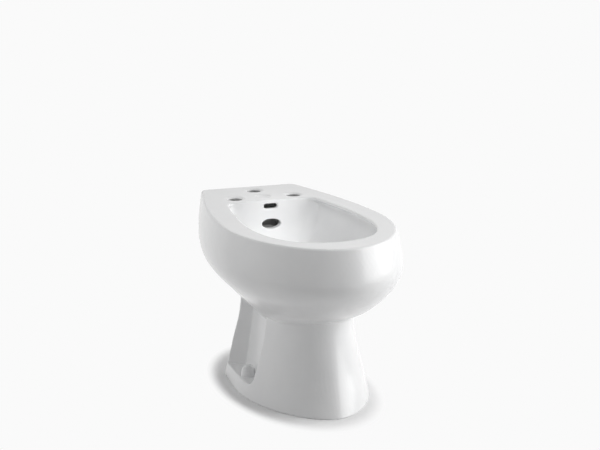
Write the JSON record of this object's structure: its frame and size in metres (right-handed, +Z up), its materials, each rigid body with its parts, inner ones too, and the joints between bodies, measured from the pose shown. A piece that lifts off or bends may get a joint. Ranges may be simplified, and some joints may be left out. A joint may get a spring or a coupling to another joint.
{
  "type": "bidet",
  "caption": "Floor-standing bidet: a deep oval china bowl over a flared, recessed pedestal, with a flat faucet deck, overflow, push-down plug waste and upward spray.",
  "frame": {"origin": "centre of the overall box, on the floor", "axes": "+Z up, the front faces -Y, and the YZ plane is the plane of symmetry"},
  "size_m": [0.3944, 0.6628, 0.381],
  "materials": {
    "glazed_china": "smooth white fired glaze",
    "chrome": "bright polished plating",
    "brass": "plain machined brass",
    "rubber": "matt black rubber",
    "white_plastic": "matt moulded plastic",
    "steel": "drawn stainless steel"
  },
  "bodies": {
    "body": {"china_body": "glazed_china", "waste_flange": "chrome", "flange_seal": "rubber", "waste_body": "brass", "waste_gasket": "rubber", "waste_washer": "white_plastic", "waste_locknut": "brass", "plug_cartridge": "white_plastic", "latch_spring": "steel", "tailpiece": "chrome", "tail_seal": "rubber", "tail_nut": "chrome", "spray_rose": "chrome", "spray_body": "brass", "spray_seal": "rubber", "spray_gasket": "rubber", "spray_washer": "steel", "spray_locknut": "brass", "inlet_washer": "rubber", "spray_inlet": "brass", "union_nut": "brass", "cap_base_left": "white_plastic", "cap_base_right": "white_plastic", "bolt_cap_left": "glazed_china", "bolt_cap_right": "glazed_china"},
    "plug": {"waste_plug": "chrome", "plug_seal": "rubber", "plug_spindle": "steel"}
  },
  "joints": [
    {"name": "plug_lift", "type": "slide", "parent": "body", "child": "plug", "axis": [0, 0, 1], "range_m": [0, 0.009]}
  ]
}
